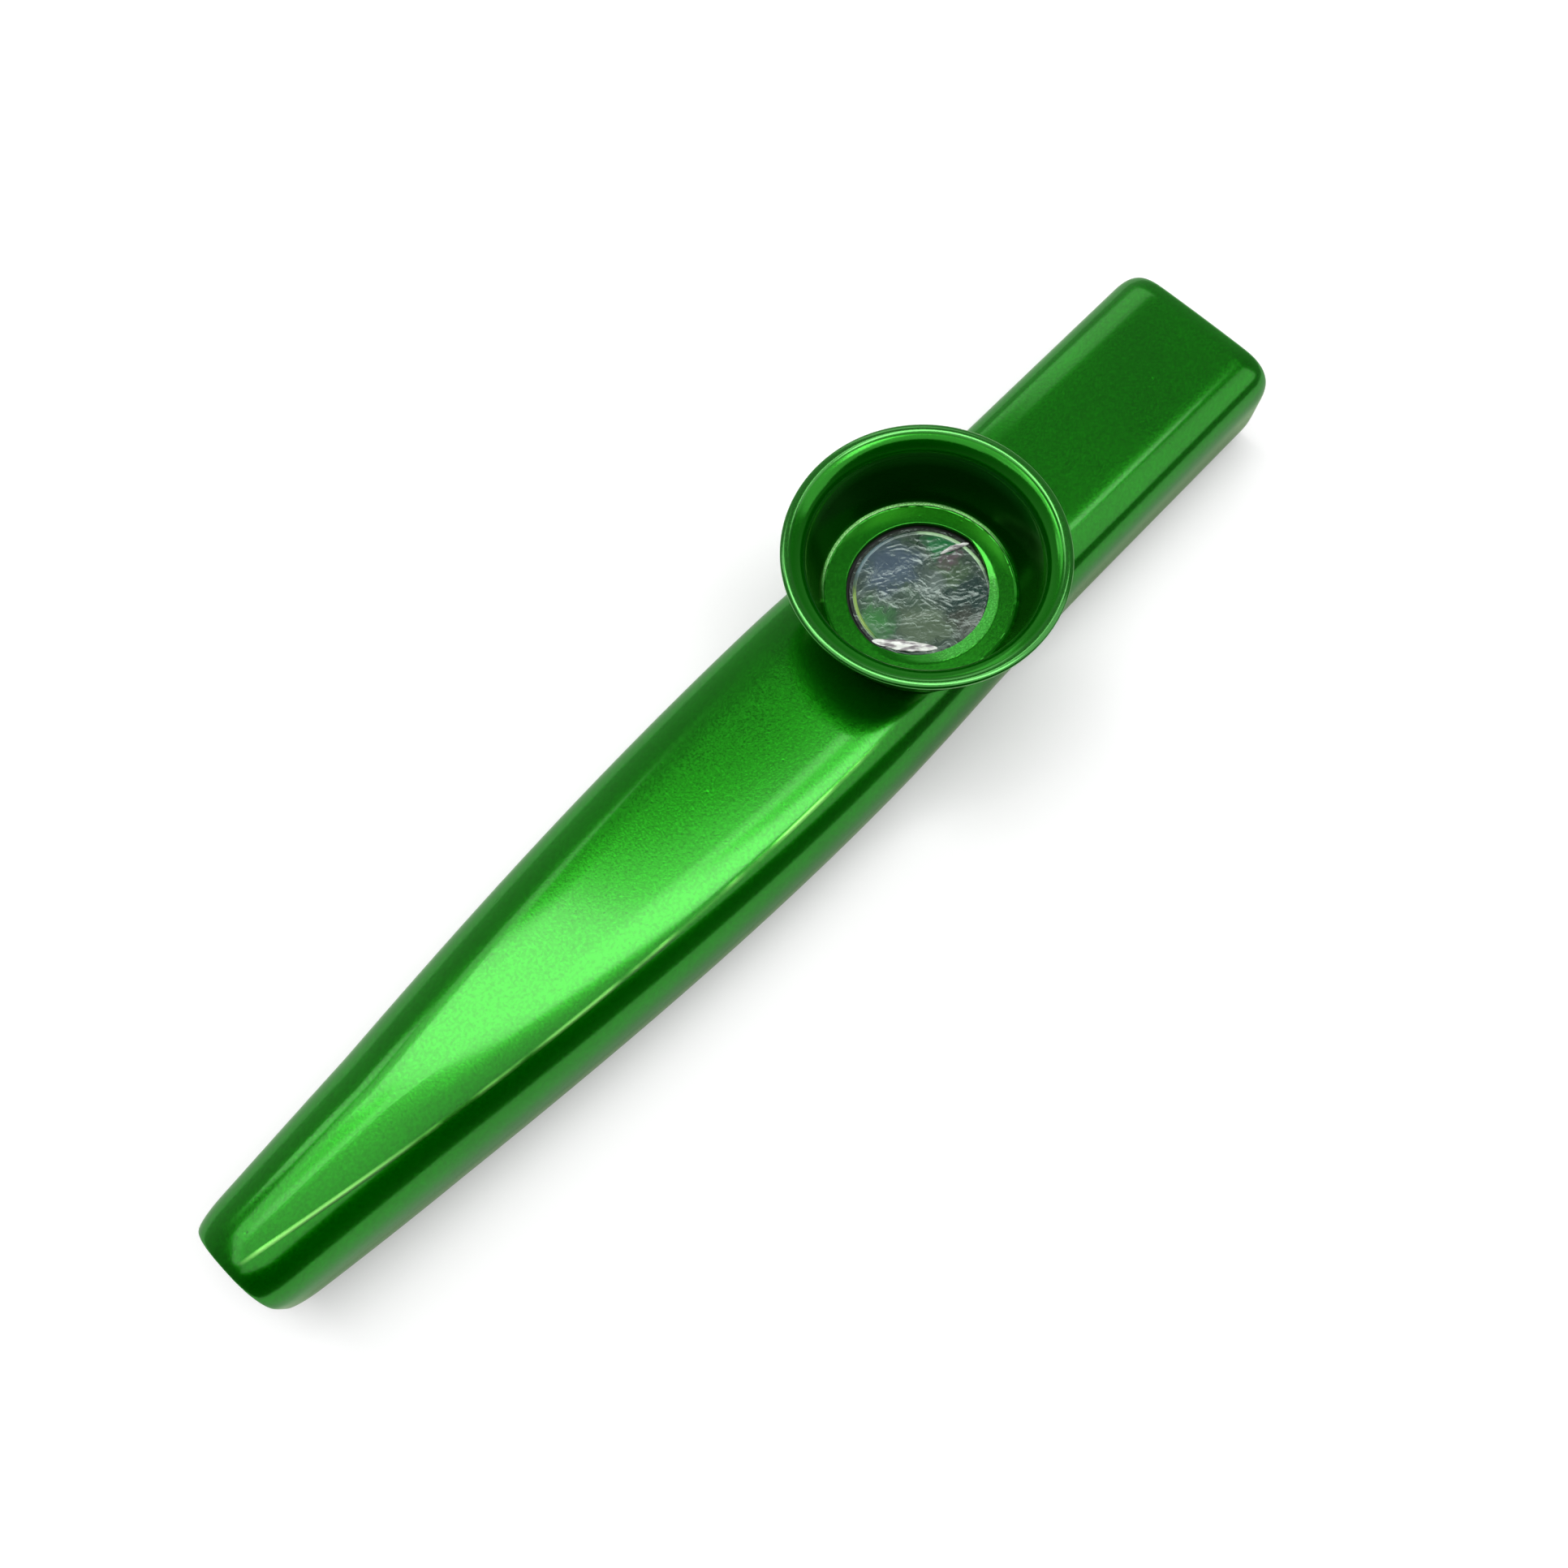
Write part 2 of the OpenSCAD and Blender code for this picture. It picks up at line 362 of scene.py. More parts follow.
def horn_outline():
    """Closed outline of the horn in (radius, height), and which of its points carry the thread."""
    rim = (RIM_R - RIM_ROUND, RIM_Z - RIM_CROWN)
    bead = [(r, rim[1] + (z - rim[1]) * (RIM_CROWN / RIM_ROUND if z > rim[1] else 1))
            for r, z in arc(rim, RIM_ROUND, RIM_SWEEP[1], RIM_SWEEP[0], 30)]
    inner = flare((CUP_MOUTH_R, FLARE_Z), bead[0], 26)
    points = [(NECK_BORE_R, NECK_Z)]
    points += line((NECK_BORE_R, NECK_Z), (NECK_BORE_R, SEAT_Z), 10)
    points += line((NECK_BORE_R, SEAT_Z), (FLOOR_HOLE_R, SEAT_Z), 3)
    points += line((FLOOR_HOLE_R, SEAT_Z), (FLOOR_HOLE_R, FLOOR_Z - HOLE_ROUND), 3)
    points += arc((FLOOR_HOLE_R + HOLE_ROUND, FLOOR_Z - HOLE_ROUND), HOLE_ROUND, 180, 90, 6)[1:]
    bead_r = CUP_FLOOR_R - BEAD_W
    points += line(points[-1], (bead_r, FLOOR_Z), 16)
    points += [(bead_r + BEAD_W * k / 8, FLOOR_Z + BEAD_H * math.sin(math.pi * k / 8) ** 2)
               for k in range(1, 8)]
    points += line((CUP_FLOOR_R, FLOOR_Z), (CUP_MOUTH_R, FLARE_Z), 22)
    points += [(r, z) for r, z, _ in inner[1:-1]]
    points += bead
    outer = [(r + HORN_WALL * math.cos(a), z - HORN_WALL * math.sin(a)) for r, z, a in inner]
    points += [(r, z) for r, z in outer[-4::-1] if r < points[-1][0] - RIM_ROUND / 4]
    points += line(points[-1], (FOOT_R, SEAT_Z), 14)
    points += line((FOOT_R, SEAT_Z), (NECK_ROOT_R, SEAT_Z), 6)
    first = len(points)
    points += line((NECK_ROOT_R, SEAT_Z), (NECK_ROOT_R, NECK_Z), THREAD_ROWS)
    return points, range(first, len(points) - 1)


def uneven(a, r, z):
    """The floor's hole, deburred more on one side than on the other."""
    away = (math.degrees(a) - BEVEL_AT + 180) % 360 - 180
    much = math.cos(math.pi / 2 * min(1, abs(away) / BEVEL_SPREAD)) ** 0.8
    near = share_of(r, FLOOR_HOLE_R + BEVEL_START, FLOOR_HOLE_R + HOLE_ROUND * 0.3) * much
    level = share_of(z, SEAT_Z, FLOOR_Z)
    edge = 1 - share_of(r, FLOOR_HOLE_R + HOLE_ROUND, FLOOR_HOLE_R + BEVEL_START)
    shift = HOLE_SHIFT[0] + HOLE_SHIFT[1] * math.cos(a - math.radians(HOLE_SHIFT_AT))
    under = BEVEL_LIFT * near * (1 - level)
    return r - BEVEL_REACH * near + shift * MM * edge, z - BEVEL_DROP * near * level + under


def make_horn():
    outline, threaded = horn_outline()
    low, high = NECK_Z + RIDGE_W / 2, SEAT_Z - RIDGE_W

    def shift(i, a, r, z):
        if i in threaded:
            fade = share_of(z, NECK_Z + THREAD_FADE, low)
            fade *= 1 - share_of(z, high, SEAT_Z - THREAD_FADE)
            return r + RIDGE_H * ridge(a, z, low) * fade, z
        if r < CUP_FLOOR_R and SEAT_Z - HAIR < z < FLOOR_Z + BEAD_H * 1.1:
            spot = Vector((math.cos(a), math.sin(a), 0))
            coarse = noise.noise(spot * 9 + Vector((0, 0, r / MM)))
            burr = coarse * 0.6 + noise.noise(spot * 31) * 0.4
            if r > CUP_FLOOR_R - BEAD_W:
                z += BURR * burr
                r += BURR * burr
            elif r < FLOOR_HOLE_R + BEVEL_START:
                r, z = uneven(a, r, z)
                r += HOLE_BURR * burr
        return r, z

    return revolved("horn_cup", outline, HORN_STEPS, shift, 30)


COLLAR_EDGE = 0.1 * MM


def make_collar():
    """The ring that the horn screws into, with its inner thread and ledge."""
    low = LEDGE_Z + RIDGE_W
    high = SEAT_Z - RIDGE_W
    edge = COLLAR_EDGE
    points = [(FILM_R, COLLAR_Z + edge)]
    points += line(points[-1], (FILM_R, LEDGE_Z - edge / 2), 3)
    points += line((FILM_R, LEDGE_Z - edge / 2), (FILM_R + edge / 2, LEDGE_Z), 1)
    points += line(points[-1], (COLLAR_ROOT_R, LEDGE_Z), 6)
    first = len(points)
    points += line(points[-1], (COLLAR_ROOT_R, SEAT_Z - edge), THREAD_ROWS)
    threaded = range(first, len(points))
    points += [(COLLAR_ROOT_R + edge, SEAT_Z)]
    points += arc((COLLAR_R - edge, SEAT_Z - edge), edge, 90, 0, 4)
    points += line((COLLAR_R, SEAT_Z - edge), (COLLAR_R, COLLAR_Z + edge), 8)
    points += [(COLLAR_R - edge, COLLAR_Z), (FILM_R + edge, COLLAR_Z)]

    def shift(i, a, r, z):
        if i in threaded:
            fade = share_of(z, LEDGE_Z, low) * (1 - share_of(z, high, SEAT_Z - edge))
            r -= RIDGE_H * ridge(a, z, NECK_Z + RIDGE_W / 2 + PITCH / 2) * fade
        return r, z

    return revolved("screw_collar", points, HORN_STEPS, shift, 30)


# Membrane: a moulded hoop, the crinkled film glued on it, and two loose folds of that film
HOOP_EDGE = 0.12 * MM
SHEET_R = 6.5 * MM
SHEET_T = 0.025 * MM
SHEET_RINGS = 120
SHEET_STEPS = 340
SHEET_LIFT = 0.035 * MM
SHEET_BEAD_R = 6.05 * MM
SHEET_BEAD_W = 0.26 * MM
SHEET_BEAD_H = 0.07 * MM
CREASE_DEPTH = 0.11 * MM
CREASE_SEED = 6
# Creases run across the film: how often they come across and up it, and how far they wander
CREASE_SCALE = (0.62, 1.15)
CREASE_WANDER = (0.9, 0.9, 0.3)
# Their ridges: scale, then H, lacunarity, octaves, offset and gain, and the height they reach
RIDGE_SCALE = 1.25
RIDGE_KIND = (0.9, 2.2, 3, 0.9, 2.0)
RIDGE_TOP = 2.2
# How much of the height is sharp ridges, fine noise and soft folds
CREASE_SHARES = (0.55, 0.1, 0.5)
# The creases end between these radii, in mm
CREASE_END = (5.3, 6)
# The film is glued on a little off the middle
SHEET_SHIFT = 0.27 * MM
# Directions on the film as the camera sees them, across and up
ACROSS = Vector((0.7071, -0.7071, 0))
UP = Vector((0.7071, 0.7071, 0))


def make_hoop():
    e = HOOP_EDGE
    points = [(FILM_R, LEDGE_Z + e)]
    points += line(points[-1], (FILM_R, HOOP_TOP_Z - e), 4)
    points += arc((FILM_R + e, HOOP_TOP_Z - e), e, 180, 90, 4)[1:]
    points += arc((HOOP_R - e, HOOP_TOP_Z - e), e, 90, 0, 4)
    points += line(points[-1], (HOOP_R, LEDGE_Z + e), 4)
    points += arc((HOOP_R - e, LEDGE_Z + e), e, 0, -90, 4)[1:]
    points += arc((FILM_R + e, LEDGE_Z + e), e, 270, 180, 4)[:-1]
    return revolved("hoop_ring", points, 192, None, 40)


def creases(x, y):
    """Height of the film at a place on it, from its creases and soft folds."""
    place = Vector((x, y, 0)) / MM
    a, b = place.dot(ACROSS), place.dot(UP)
    warp = noise.noise_vector(Vector((a, b, 7)) * 0.45)
    (scale_a, scale_b), (wander_a, wander_b, wander_c) = CREASE_SCALE, CREASE_WANDER
    q = Vector((a * scale_a + warp.x * wander_a, b * scale_b + warp.y * wander_b, warp.z * wander_c))
    sharp = noise.ridged_multi_fractal(q * RIDGE_SCALE, *RIDGE_KIND) / RIDGE_TOP
    soft = noise.noise(q * 0.45 + Vector((4, 9, 1)))
    fine = noise.noise(q * 3.1)
    lively = 0.3 + 0.7 * share_of(b + 0.25 * a, -2.6, 0.2)
    inside = 1 - share_of(math.hypot(a - SHEET_SHIFT / MM, b), *CREASE_END)
    of_sharp, of_fine, of_soft = CREASE_SHARES
    return CREASE_DEPTH * (lively * (sharp * of_sharp + fine * of_fine) + soft * of_soft) * inside


def make_film():
    """The film's sheet. noise_vector follows the clock unless a seed is set."""
    noise.seed_set(CREASE_SEED)
    rings, top = SHEET_RINGS, HOOP_TOP_Z + SHEET_LIFT
    upper = [(TURRET_X, 0, top + creases(0, 0))]
    for k in range(1, rings + 1):
        r = SHEET_R * k / rings
        for i in range(SHEET_STEPS):
            a = 2 * math.pi * i / SHEET_STEPS
            x, y = r * math.cos(a) + ACROSS.x * SHEET_SHIFT, r * math.sin(a) + ACROSS.y * SHEET_SHIFT
            bead = math.cos(math.pi / 2 * min(1, abs(r - SHEET_BEAD_R) / (SHEET_BEAD_W / 2))) ** 2
            uneven_h = 1 + 0.35 * noise.noise(Vector((math.cos(a), math.sin(a), 0)) * 5)
            upper.append((TURRET_X + x, y, top + creases(x, y) + SHEET_BEAD_H * bead * uneven_h))
    count = len(upper)
    points = upper + [(x, y, z - SHEET_T) for x, y, z in upper]
    faces = []
    for i in range(SHEET_STEPS):
        j = (i + 1) % SHEET_STEPS
        faces.append((0, 1 + i, 1 + j))
        for k in range(rings - 1):
            here, there = 1 + k * SHEET_STEPS, 1 + (k + 1) * SHEET_STEPS
            faces.append((here + i, there + i, there + j, here + j))
    faces += [tuple(count + v for v in face[::-1]) for face in faces]
    rim = 1 + (rings - 1) * SHEET_STEPS
    faces += [(rim + (i + 1) % SHEET_STEPS, rim + i, count + rim + i, count + rim + (i + 1) % SHEET_STEPS)
              for i in range(SHEET_STEPS)]
    return mesh_object("film_sheet", points, faces, 60)


# Loose folds of film: name, start and end (across, up) from the film's middle, width, height,
# how far it bows sideways, and how far its crest leans over
FOLDS = (
    ("film_fold_low", (-4.4 * MM, -4.5 * MM), (1.35 * MM, -5.35 * MM), 1.0 * MM, 0.2 * MM, -0.15 * MM, 0.2),
    ("film_fold_high", (2.1 * MM, 3.85 * MM), (4.75 * MM, 4.85 * MM), 0.42 * MM, 0.34 * MM, 0.05 * MM, 0.5),
)
FOLD_STEPS = 48
FOLD_AROUND = 28
FOLD_TIP = 0.04
FOLD_TAPER = 0.55
# The groove along a fold's top: its depth and half its width, as shares of the fold's
FOLD_GROOVE = 0.62
FOLD_GROOVE_W = 0.2
FOLD_CRUMPLE = 0.1
FOLD_LIFT = 0.02 * MM


def make_fold(name, start, end, width, height, bow, lean):
    """A loose fold of film: a pinched loop that runs from one place on the film to another."""
    steps, around = FOLD_STEPS, FOLD_AROUND
    rings = []
    along_it = Vector((end[0] - start[0], end[1] - start[1], 0))
    side = Vector((-along_it.y, along_it.x, 0)).normalized()
    for k in range(steps + 1):
        t = k / steps
        uneven_w = 1 + 0.25 * noise.noise(Vector((t * 6, width / MM, 0)))
        swell = max(FOLD_TIP, math.sin(math.pi * t) ** FOLD_TAPER * uneven_w)
        centre = Vector((start[0], start[1], 0)) + along_it * t + side * bow * math.sin(math.pi * t)
        ring = []
        for i in range(around):
            a = 2 * math.pi * i / around
            out = math.cos(a) * width / 2 * swell
            groove = FOLD_GROOVE * math.exp(-(out / (width * FOLD_GROOVE_W)) ** 2) * (math.sin(a) > 0)
            rise = math.sin(a) * height / 2 * swell * (1 - groove)
            rough = noise.noise(Vector((t * 9, math.cos(a) * 1.5, math.sin(a) * 1.5)))
            crumple = FOLD_CRUMPLE * height * rough
            spot = centre + side * (out + lean * rise)
            lift = height / 2 * swell + rise + crumple
            place = ACROSS * spot.x + UP * spot.y
            ring.append((TURRET_X + place.x, place.y, HOOP_TOP_Z + SHEET_LIFT + FOLD_LIFT + lift))
        rings.append(ring)
    points = [p for ring in rings for p in ring]
    faces = []
    for k in range(steps):
        for i in range(around):
            j = (i + 1) % around
            here, there = k * around, (k + 1) * around
            faces.append((here + i, there + i, there + j, here + j))
    faces.append(tuple(range(around)))
    faces.append(tuple(steps * around + i for i in reversed(range(around))))
    return mesh_object(name, points, faces, 60)


# Camera, as the photograph was taken
CAMERA_AT = Vector((-31.096, -32.083, 133.635)) * MM
CAMERA_AIM = Vector((0.782, -0.98, 0)) * MM
CAMERA_ROLL = 0.608
CAMERA_LENS = 34.575


def make_camera():
    data = bpy.data.cameras.new("camera")
    data.sensor_width = 36
    data.lens = CAMERA_LENS
    data.clip_start, data.clip_end = 0.01, 20
    camera = bpy.data.objects.new("camera", data)
    bpy.context.scene.collection.objects.link(camera)
    turned = (CAMERA_AIM - CAMERA_AT).to_track_quat("-Z", "Y").to_matrix()
    turned = turned @ Matrix.Rotation(math.radians(-CAMERA_ROLL), 3, "Z")
    camera.matrix_world = Matrix.Translation(CAMERA_AT) @ turned.to_4x4()
    bpy.context.scene.camera = camera


# Materials

class Nodes:
    """Short calls for building a node material."""

    def __init__(self, name):
        self.material = bpy.data.materials.new(name)
        self.material.use_nodes = True
        self.tree = self.material.node_tree
        self.shader = self.tree.nodes["Principled BSDF"]
        self.place = self.add("ShaderNodeTexCoord").outputs["Object"]

    def add(self, kind, **values):
        node = self.tree.nodes.new(kind)
        for key, value in values.items():
            setattr(node, key, value)
        return node

    def link(self, source, target):
        self.tree.links.new(source, target)

    def set(self, **values):
        for key, value in values.items():
            self.shader.inputs[key.replace("_", " ")].default_value = value

    def noise_node(self, vector, size, detail, **values):
        node = self.add("ShaderNodeTexNoise", **values)
        node.inputs["Scale"].default_value = 1 / size
        node.inputs["Detail"].default_value = detail
        self.link(vector, node.inputs["Vector"])
        return node

    def noise(self, size, detail=2, rough=0.5):
        """Noise whose features are about size metres wide."""
        node = self.noise_node(self.place, size, detail)
        node.inputs["Roughness"].default_value = rough
        return node.outputs["Fac"]

    def span(self, value, low, high, to_low=0.0, to_high=1.0):
        """A value remapped from one range to another, and held within it."""
        node = self.add("ShaderNodeMapRange")
        self.link(value, node.inputs["Value"])
        for key, number in (("From Min", low), ("From Max", high), ("To Min", to_low), ("To Max", to_high)):
            node.inputs[key].default_value = number
        return node.outputs["Result"]

    def mixed(self, factor, first, second):
        """A colour between two, which are colours or sockets."""
        node = self.add("ShaderNodeMix", data_type="RGBA")
        self.link(factor, node.inputs["Factor"])
        for key, colour in (("A", first), ("B", second)):
            socket = [s for s in node.inputs if s.name == key and s.type == "RGBA"][0]
            if isinstance(colour, bpy.types.NodeSocket):
                self.link(colour, socket)
            else:
                socket.default_value = (*colour, 1)
        return [s for s in node.outputs if s.type == "RGBA"][0]

    def near(self, point, full, none):
        """1 within one distance of a point in metres, falling smoothly to 0 at another."""
        gap = self.add("ShaderNodeVectorMath", operation="DISTANCE")
        self.link(self.place, gap.inputs[0])
        gap.inputs[1].default_value = point
        node = self.add("ShaderNodeMapRange", interpolation_type="SMOOTHSTEP")
        self.link(gap.outputs["Value"], node.inputs["Value"])
        for key, number in (("From Min", full), ("From Max", none), ("To Min", 1), ("To Max", 0)):
            node.inputs[key].default_value = number
        return node.outputs["Result"]

    def math(self, operation, *values):
        """A sum on numbers or sockets."""
        node = self.add("ShaderNodeMath", operation=operation)
        for socket, value in zip(node.inputs, values):
            if isinstance(value, bpy.types.NodeSocket):
                self.link(value, socket)
            else:
                socket.default_value = value
        return node.outputs["Value"]

    def times(self, *values):
        made = values[0]
        for value in values[1:]:
            made = self.math("MULTIPLY", made, value)
        return made

    def band(self, value, low, high, soft):
        """1 between two values, falling to 0 within a soft edge on each side."""
        return self.times(self.span(value, low - soft, low), self.span(value, high, high + soft, 1.0, 0.0))

    def out_from(self, x, y):
        """Distance from an upright line at x, y."""
        level = self.add("ShaderNodeVectorMath", operation="MULTIPLY_ADD")
        self.link(self.place, level.inputs[0])
        level.inputs[1].default_value = (1, 1, 0)
        level.inputs[2].default_value = (-x, -y, 0)
        out = self.add("ShaderNodeVectorMath", operation="LENGTH")
        self.link(level.outputs["Vector"], out.inputs[0])
        return out.outputs["Value"]

    def height(self):
        split = self.add("ShaderNodeSeparateXYZ")
        self.link(self.place, split.inputs["Vector"])
        return split.outputs["Z"]

    def lathe_rings(self, size):
        """Noise that only changes along the turret's axis and away from it."""
        both = self.add("ShaderNodeCombineXYZ")
        self.link(self.out_from(TURRET_X, 0), both.inputs["X"])
        self.link(self.height(), both.inputs["Z"])
        return self.noise_node(both.outputs["Vector"], size, 1).outputs["Fac"]

    def warp(self, size, reach):
        """From here on, places are moved by soft noise: up to reach metres, in waves of size."""
        node = self.noise_node(self.place, size, 2)
        moved = self.add("ShaderNodeVectorMath", operation="MULTIPLY_ADD")
        self.link(node.outputs["Color"], moved.inputs[0])
        moved.inputs[1].default_value = (4 * reach, 4 * reach, 0)
        moved.inputs[2].default_value = (-2 * reach, -2 * reach, 0)
        total = self.add("ShaderNodeVectorMath", operation="ADD")
        self.link(self.place, total.inputs[0])
        self.link(moved.outputs["Vector"], total.inputs[1])
        self.place = total.outputs["Vector"]

    def streaks(self, size, longer):
        """Noise drawn out along the film's across direction."""
        both = self.add("ShaderNodeCombineXYZ")
        for axis, direction, share in (("X", ACROSS, 1 / longer), ("Y", UP, 1)):
            dot = self.add("ShaderNodeVectorMath", operation="DOT_PRODUCT")
            self.link(self.place, dot.inputs[0])
            dot.inputs[1].default_value = direction * share
            self.link(dot.outputs["Value"], both.inputs[axis])
        return self.noise_node(both.outputs["Vector"], size, 2).outputs["Fac"]

    def crinkles(self, size, detail=3):
        """Ridges with sharp crests, about size metres apart."""
        node = self.noise_node(self.place, size, detail, noise_type="RIDGED_MULTIFRACTAL", normalize=True)
        node.inputs["Roughness"].default_value = 0.55
        return node.outputs["Fac"]

    def bump(self, height, distance, strength=1.0, normal=None):
        node = self.add("ShaderNodeBump")
        node.inputs["Strength"].default_value = strength
        node.inputs["Distance"].default_value = distance
        self.link(height, node.inputs["Height"])
        if normal:
            self.link(normal, node.inputs["Normal"])
        return node.outputs["Normal"]


GREEN = (0.002, 0.21, 0.0015)
GREEN_DEEP = (0.0015, 0.185, 0.001)
GREEN_BRIGHT = (0.0025, 0.238, 0.0015)
# Painted shade for the inside of the horn's cup
GREEN_CUP_SHADE = (0.0008, 0.07, 0.0006)
# Painted shade: the darker green of the tube's sides
GREEN_SIDE_SHADE = (0.001, 0.08, 0.0008)
GREEN_SPECK = (0.0015, 0.1, 0.001)
# Painted highlight on the cut edge of the horn's hole
GREEN_CUT_HIGHLIGHT = (0.11, 0.75, 0.1)
# Painted highlight on the burr round the horn's floor
GREEN_BURR_HIGHLIGHT = (0.5, 0.95, 0.42)
# Colour of the painted highlight line along one shoulder
GREEN_SHOULDER_HIGHLIGHT = (0.27, 0.8, 0.16)
# Painted highlight: a bright line along one shoulder, where a reflection runs. Its y in mm, as a
# cubic in tenths of a metre from the tail
SHOULDER_HIGHLIGHT = (-0.7443, 16.98, -20.4, -0.64)
# The line fades out between these distances from its course in mm, and at its two ends
SHOULDER_HIGHLIGHT_EDGE = (0.04, 0.22)
SHOULDER_HIGHLIGHT_START = (0.01, 0.03)
SHOULDER_HIGHLIGHT_END = (0.6, 0.7)
# It is unbroken near the tail, and patchy past these places
SHOULDER_HIGHLIGHT_WHOLE = (0.1, 0.2)
SHOULDER_HIGHLIGHT_Z = (9 * MM, 10 * MM)
# Heights between which the tube's sides, painted darker as shade, turn into its top, and the clear skin's
# share on each
SIDE_TO_TOP = (4 * MM, 9.5 * MM)
SKIN_SHARES = (0.02, 0.18)
SPECK_SIZE = 0.28 * MM
SPECK_MOST = 0.42
GRAIN_SIZE = 0.2 * MM
PIT_GAP = 3.2 * MM
PIT_R = (0.02, 0.05)


def anodised(name, base, deep, roughness, turned=False, relief=0.003):
    """Satin anodised aluminium: a fine blasted grain under a clear oxide skin, with tiny pits.
    A turned piece also has the lathe's fine rings."""
    m = Nodes(name)
    cloud = m.span(m.noise(9 * MM, 3), 0.35, 0.65)
    grain = m.noise(GRAIN_SIZE, 2, 0.6)
    m.tone = m.mixed(cloud, deep, base)
    m.link(m.tone, m.shader.inputs["Base Color"])
    m.link(m.span(grain, 0.3, 0.7, roughness - 0.05, roughness + 0.05), m.shader.inputs["Roughness"])
    pits = m.add("ShaderNodeTexVoronoi")
    pits.inputs["Scale"].default_value = 1 / PIT_GAP
    m.link(m.place, pits.inputs["Vector"])
    pit = m.span(pits.outputs["Distance"], *PIT_R)
    surface = m.bump(pit, 0.02 * MM, 0.5, m.bump(grain, relief * MM))
    if turned:
        surface = m.bump(m.lathe_rings(0.09 * MM), 0.003 * MM, 0.6, surface)
    m.link(surface, m.shader.inputs["Normal"])
    m.surface = surface
    m.set(Metallic=0.7, Specular_IOR_Level=0.9, Coat_Weight=0.14, Coat_Roughness=0.12, Coat_IOR=2.0)
    m.shader.inputs["Specular Tint"].default_value = (0.55, 0.64, 0.3, 1)
    return m


def anodised_tube():
    """Finely speckled, with painted shade that makes it darker and duller down its sides, and a painted
    highlight line along one shoulder.
    """
    m = anodised("anodised_tube", GREEN_BRIGHT, GREEN, 0.2, relief=0.006)
    split = m.add("ShaderNodeSeparateXYZ")
    m.link(m.place, split.inputs["Vector"])
    u = m.math("MULTIPLY_ADD", split.outputs["X"], 10, -10 * TUBE_LOW.x)
    course = SHOULDER_HIGHLIGHT[0]
    for number in SHOULDER_HIGHLIGHT[1:]:
        course = m.math("MULTIPLY_ADD", course, u, number)
    away = m.math("ABSOLUTE", m.math("SUBTRACT", m.math("MULTIPLY", split.outputs["Y"], 1 / MM), course))
    patchy = m.span(m.noise(6 * MM, 3), 0.42, 0.6, 0.1, 0.7)
    shown = m.math("MAXIMUM", patchy, m.span(u, *SHOULDER_HIGHLIGHT_WHOLE, 0.9, 0.0))
    # Painted highlight line along the shoulder, paler and less metallic
    line = m.times(m.span(away, *SHOULDER_HIGHLIGHT_EDGE, 1.0, 0.0), m.span(u, *SHOULDER_HIGHLIGHT_START),
                   m.span(u, *SHOULDER_HIGHLIGHT_END, 1.0, 0.0), m.span(m.height(), *SHOULDER_HIGHLIGHT_Z), shown)
    speck = m.span(m.noise(SPECK_SIZE, 2, 0.7), 0.35, 0.65, 0.0, SPECK_MOST)
    speckled = m.mixed(speck, m.tone, GREEN_SPECK)
    # Painted shade: the sides are darker towards the bottom
    tone = m.mixed(m.span(m.height(), *SIDE_TO_TOP), GREEN_SIDE_SHADE, speckled)
    m.link(m.mixed(line, tone, GREEN_SHOULDER_HIGHLIGHT), m.shader.inputs["Base Color"])
    m.link(m.span(m.height(), *SIDE_TO_TOP, *SKIN_SHARES), m.shader.inputs["Coat Weight"])
    m.set(Coat_Roughness=0.1, Specular_IOR_Level=1.0)
    m.shader.inputs["Specular Tint"].default_value = (0.26, 0.5, 0.12, 1)
    m.link(m.span(line, 0, 1, 0.7, 0.3), m.shader.inputs["Metallic"])
    m.link(m.bump(line, 0.03 * MM, 1, m.surface), m.shader.inputs["Normal"])
    return m


# Middles of the painted highlights on the cut edge and on the burr, (across, up) from the turret's axis in mm
CUT_HIGHLIGHT_AT = (5.6, -4.1)
BURR_HIGHLIGHT_AT = (-2.2, 8.4)


